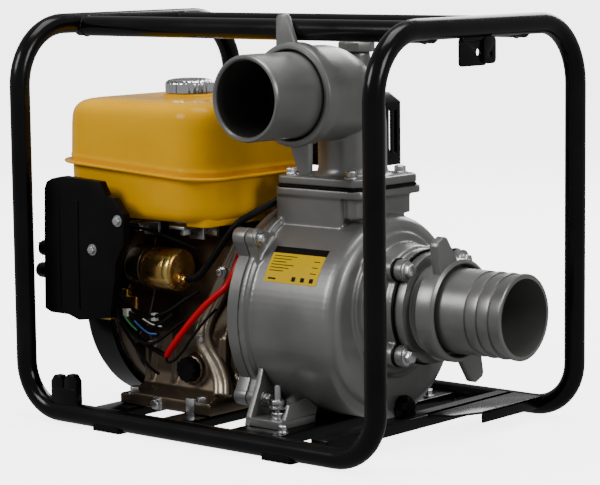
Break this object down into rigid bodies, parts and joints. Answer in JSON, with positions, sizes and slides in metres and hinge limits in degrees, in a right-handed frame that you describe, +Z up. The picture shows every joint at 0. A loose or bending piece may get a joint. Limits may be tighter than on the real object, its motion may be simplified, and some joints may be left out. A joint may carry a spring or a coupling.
{
  "type": "engine-driven trash pump",
  "caption": "Petrol engine trash pump in a black tube frame, with a horizontal hose outlet, a front hose inlet and a yellow fuel tank over an electric-start engine.",
  "frame": {"origin": "middle of the frame at floor level", "axes": "+X from the recoil starter towards the suction port, +Y away from the starter motor side, +Z up"},
  "size_m": [0.6532, 0.431, 0.5226],
  "materials": {
    "black_paint": "gloss black paint",
    "silver_paint": "satin silver-grey paint on cast aluminium",
    "bronze_paint": "bronze metallic paint",
    "yellow_paint": "gloss yellow enamel",
    "black_plastic": "satin black moulding",
    "rubber": "matt black rubber",
    "steel": "bright machined steel",
    "chrome": "polished chrome",
    "zinc_gold": "gold zinc plating",
    "cast_iron": "bare grey casting",
    "red_insulation": "red cable sheath",
    "seal_ceramic": "pale ceramic"
  },
  "bodies": {
    "frame": {"frame_half_near": "black_paint", "frame_half_far": "black_paint", "top_rail_near": "black_paint", "top_rail_far": "black_paint", "engine_cross_member_left": "black_paint", "engine_cross_member_right": "black_paint", "pump_cross_member": "black_paint", "front_base_plate": "black_paint", "end_bracket": "black_paint", "fan_shroud": "black_paint", "muffler_guard": "black_paint", "pump_casing": "silver_paint", "casing_back_plate": "silver_paint", "pump_foot_near": "silver_paint", "pump_foot_far": "silver_paint", "suction_flange": "silver_paint", "suction_hose_tail": "silver_paint", "discharge_elbow": "silver_paint", "discharge_hose_tail": "silver_paint", "crankcase": "bronze_paint", "crankcase_cover": "bronze_paint", "cylinder_head": "bronze_paint", "rocker_cover": "bronze_paint", "starter_nose_bracket": "bronze_paint", "fuel_tank": "yellow_paint", "recoil_cover": "black_plastic", "control_box": "black_plastic", "air_cleaner": "black_plastic", "rubber_foot_near_left": "rubber", "rubber_foot_near_right": "rubber", "rubber_foot_far_left": "rubber", "rubber_foot_far_right": "rubber", "suction_gasket": "rubber", "elbow_gasket": "rubber", "spark_plug_cap": "rubber", "black_cable": "rubber", "tank_bracket": "steel", "carburettor": "steel", "starter_motor": "zinc_gold", "red_cable": "red_insulation", "mechanical_seal": "seal_ceramic", "volute": "cast_iron", "muffler": "cast_iron"},
    "rotor": {"crankshaft": "steel", "flywheel": "cast_iron", "impeller": "cast_iron"},
    "piston_body": {"piston": "steel"},
    "fuel_cap_body": {"fuel_cap": "chrome"},
    "priming_plug_body": {"priming_plug": "silver_paint"},
    "drain_plug_body": {"drain_plug": "black_plastic"},
    "oil_plug_body": {"oil_filler_plug": "black_plastic"},
    "suction_nut_body": {"suction_claw_nut": "silver_paint"},
    "discharge_nut_body": {"discharge_claw_nut": "silver_paint"},
    "recoil_handle_body": {"recoil_handle": "black_plastic"},
    "key_body": {"ignition_key": "black_plastic"},
    "button_body": {"breaker_button": "black_plastic"},
    "choke_body": {"choke_lever": "black_plastic"},
    "fuel_lever_body": {"fuel_lever": "black_plastic"},
    "throttle_body": {"throttle_lever": "black_plastic"},
    "check_valve_body": {"suction_check_valve": "rubber"}
  },
  "joints": [
    {"name": "crankshaft_turn", "type": "hinge", "parent": "frame", "child": "rotor", "pos_m": [0, 0, 0.146], "axis": [1, 0, 0], "continuous": true},
    {"name": "piston_slide", "type": "slide", "parent": "frame", "child": "piston_body", "axis": [0, -0.9063, -0.4226], "range_m": [0, 0.056]},
    {"name": "fuel_cap_turn", "type": "hinge", "parent": "frame", "child": "fuel_cap_body", "pos_m": [-0.155, -0.055, 0.4173], "axis": [0, 0, 1], "range_deg": [0, 90]},
    {"name": "priming_plug_turn", "type": "hinge", "parent": "frame", "child": "priming_plug_body", "pos_m": [0.069, 0.008, 0.4713], "axis": [0, 0, 1], "range_deg": [0, 720]},
    {"name": "drain_plug_turn", "type": "hinge", "parent": "frame", "child": "drain_plug_body", "pos_m": [0.1383, 0.006, 0.033], "axis": [1, 0, 0], "range_deg": [0, 720]},
    {"name": "oil_plug_turn", "type": "hinge", "parent": "frame", "child": "oil_plug_body", "pos_m": [-0.113, -0.1063, 0.07], "axis": [0, -1, 0], "range_deg": [0, 720]},
    {"name": "suction_nut_turn", "type": "hinge", "parent": "frame", "child": "suction_nut_body", "pos_m": [0.2235, 0, 0.164], "axis": [1, 0, 0], "range_deg": [0, 540]},
    {"name": "discharge_nut_turn", "type": "hinge", "parent": "frame", "child": "discharge_nut_body", "pos_m": [0.068, -0.109, 0.425], "axis": [0, -1, 0], "range_deg": [0, 540]},
    {"name": "recoil_handle_pull", "type": "slide", "parent": "frame", "child": "recoil_handle_body", "axis": [-1, 0, 0], "range_m": [0, 0.6], "stiffness_N_per_m": 15, "springref_m": -0.3},
    {"name": "key_turn", "type": "hinge", "parent": "frame", "child": "key_body", "pos_m": [-0.2903, -0.176, 0.219], "axis": [1, 0, 0], "range_deg": [-30, 60]},
    {"name": "breaker_button_press", "type": "slide", "parent": "frame", "child": "button_body", "axis": [1, 0, 0], "range_m": [0, 0.003], "stiffness_N_per_m": 300},
    {"name": "choke_turn", "type": "hinge", "parent": "frame", "child": "choke_body", "pos_m": [-0.226, 0.1743, 0.254], "axis": [0, 1, 0], "range_deg": [-45, 0]},
    {"name": "fuel_lever_turn", "type": "hinge", "parent": "frame", "child": "fuel_lever_body", "pos_m": [-0.226, 0.1743, 0.218], "axis": [0, 1, 0], "range_deg": [0, 40]},
    {"name": "throttle_turn", "type": "hinge", "parent": "frame", "child": "throttle_body", "pos_m": [-0.147, 0.055, 0.24], "axis": [1, 0, 0], "range_deg": [-25, 0]},
    {"name": "check_valve_swing", "type": "hinge", "parent": "frame", "child": "check_valve_body", "pos_m": [0.1465, 0, 0.205], "axis": [0, 1, 0], "range_deg": [0, 40]}
  ]
}
